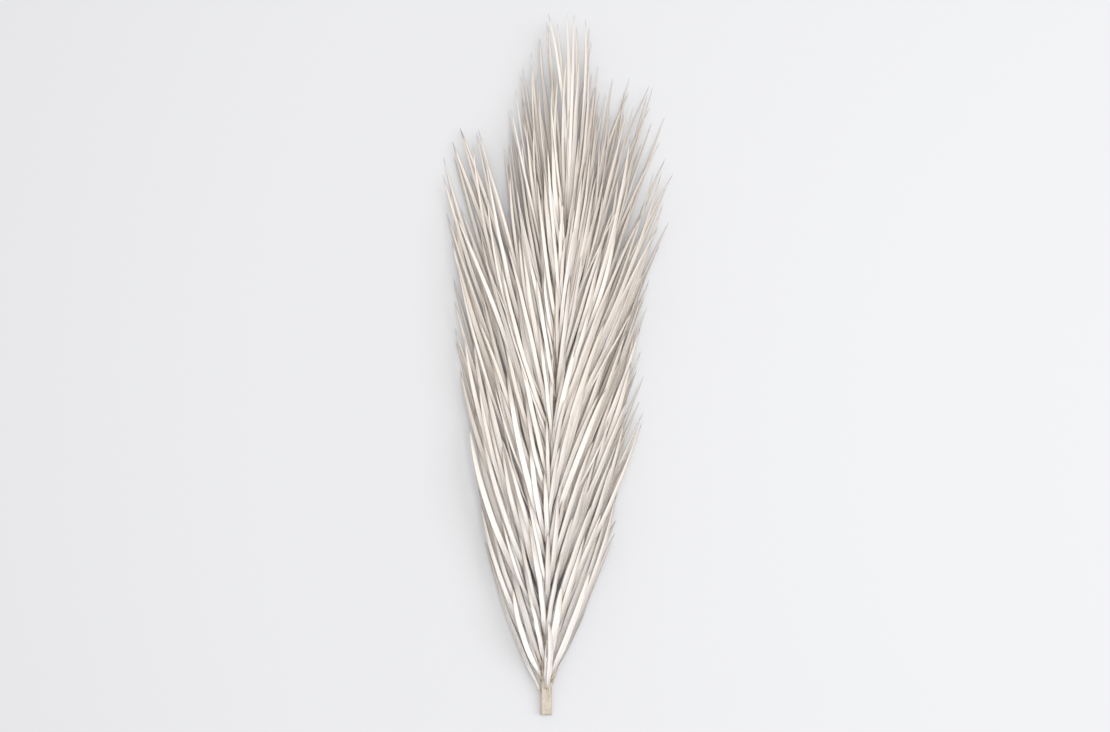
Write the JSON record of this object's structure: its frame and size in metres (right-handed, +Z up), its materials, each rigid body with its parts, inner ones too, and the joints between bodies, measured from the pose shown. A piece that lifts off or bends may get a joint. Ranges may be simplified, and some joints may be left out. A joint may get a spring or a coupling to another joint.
{
  "type": "dried palm frond",
  "caption": "Dried, bleached feather palm frond with a channelled stalk and narrow folded leaflets, cut and lying flat for decoration.",
  "frame": {"origin": "on the surface that the frond lies on, under the middle of its outline", "axes": "+Y from the cut end of the stalk towards the tip, +Z up from the surface that it lies on, +X across the frond"},
  "size_m": [0.289, 0.9, 0.0511],
  "materials": {
    "stalk": "matte",
    "leaflet": "matte"
  },
  "bodies": {
    "root": {"stalk": "stalk", "leaflet_left_01": "leaflet", "leaflet_left_02": "leaflet", "leaflet_left_03": "leaflet", "leaflet_left_04": "leaflet", "leaflet_left_05": "leaflet", "leaflet_left_06": "leaflet", "leaflet_left_07": "leaflet", "leaflet_left_08": "leaflet", "leaflet_left_09": "leaflet", "leaflet_left_10": "leaflet", "leaflet_left_11": "leaflet", "leaflet_left_12": "leaflet", "leaflet_left_13": "leaflet", "leaflet_left_14": "leaflet", "leaflet_left_15": "leaflet", "leaflet_left_16": "leaflet", "leaflet_left_17": "leaflet", "leaflet_left_18": "leaflet", "leaflet_left_19": "leaflet", "leaflet_left_20": "leaflet", "leaflet_left_21": "leaflet", "leaflet_left_22": "leaflet", "leaflet_left_23": "leaflet", "leaflet_left_24": "leaflet", "leaflet_left_25": "leaflet", "leaflet_left_26": "leaflet", "leaflet_left_27": "leaflet", "leaflet_left_28": "leaflet", "leaflet_left_29": "leaflet", "leaflet_right_01": "leaflet", "leaflet_right_02": "leaflet", "leaflet_right_03": "leaflet", "leaflet_right_04": "leaflet", "leaflet_right_05": "leaflet", "leaflet_right_06": "leaflet", "leaflet_right_07": "leaflet", "leaflet_right_08": "leaflet", "leaflet_right_09": "leaflet", "leaflet_right_10": "leaflet", "leaflet_right_11": "leaflet", "leaflet_right_12": "leaflet", "leaflet_right_13": "leaflet", "leaflet_right_14": "leaflet", "leaflet_right_15": "leaflet", "leaflet_right_16": "leaflet", "leaflet_right_17": "leaflet", "leaflet_right_18": "leaflet", "leaflet_right_19": "leaflet", "leaflet_right_20": "leaflet", "leaflet_right_21": "leaflet", "leaflet_right_22": "leaflet", "leaflet_right_23": "leaflet", "leaflet_right_24": "leaflet", "leaflet_right_25": "leaflet", "leaflet_right_26": "leaflet", "leaflet_right_27": "leaflet", "leaflet_right_28": "leaflet", "leaflet_right_29": "leaflet", "leaflet_end": "leaflet"}
  },
  "joints": []
}
